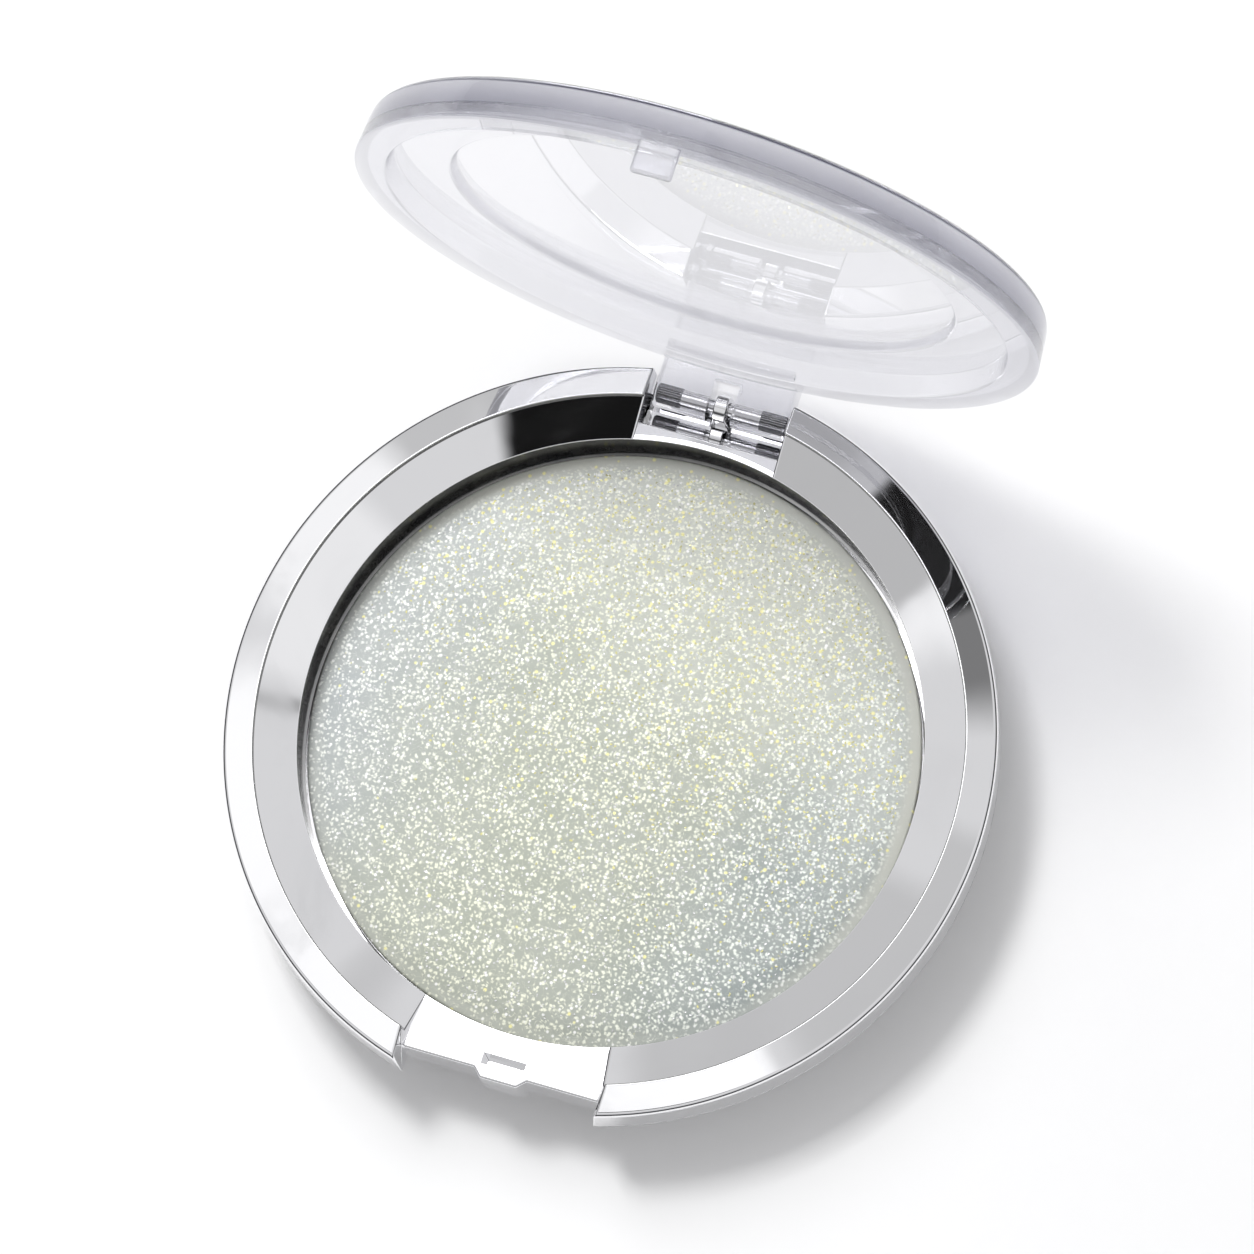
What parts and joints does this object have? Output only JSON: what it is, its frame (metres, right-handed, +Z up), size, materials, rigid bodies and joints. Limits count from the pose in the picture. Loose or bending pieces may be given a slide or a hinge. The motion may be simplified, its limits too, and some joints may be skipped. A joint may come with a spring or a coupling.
{
  "type": "powder compact",
  "caption": "Round compact with a mirror-bright base, a well holding a pan of domed pearly gel, and a clear hinged lid with a front catch and finger notch.",
  "frame": {"origin": "centre of the base's flat underside, on the axis of the well, where the compact stands on a table", "axes": "+Z up out of the well, +Y towards the hinge, -Y towards the finger notch, +X along the hinge pin to the right seen from the front"},
  "size_m": [0.076, 0.0805, 0.0775],
  "materials": {
    "chromed_case": "moulded ABS, vacuum-metallised to a mirror chrome",
    "chromed_frame": "moulded ABS, vacuum-metallised to a mirror chrome",
    "adhesive": "matt double-sided adhesive foam",
    "pan_metal": "bright pressed sheet",
    "pearl_gel": "pearly gel with fine shimmer and glitter",
    "label_paper": "smooth white, blank",
    "pin_steel": "bright drawn wire with knurled ends",
    "clear_plastic": "clear polished, moulded thick"
  },
  "bodies": {
    "base": {"bottom_case": "chromed_case", "top_frame": "chromed_frame", "pan_adhesive": "adhesive", "pan": "pan_metal", "gel": "pearl_gel", "base_label": "label_paper"},
    "cover": {"lid": "clear_plastic", "hinge_pin": "pin_steel"}
  },
  "joints": [
    {"name": "lid_hinge", "type": "hinge", "parent": "base", "child": "cover", "pos_m": [0, 0.0358, 0.0075], "axis": [-1, 0, 0], "range_deg": [-90, 15]}
  ]
}
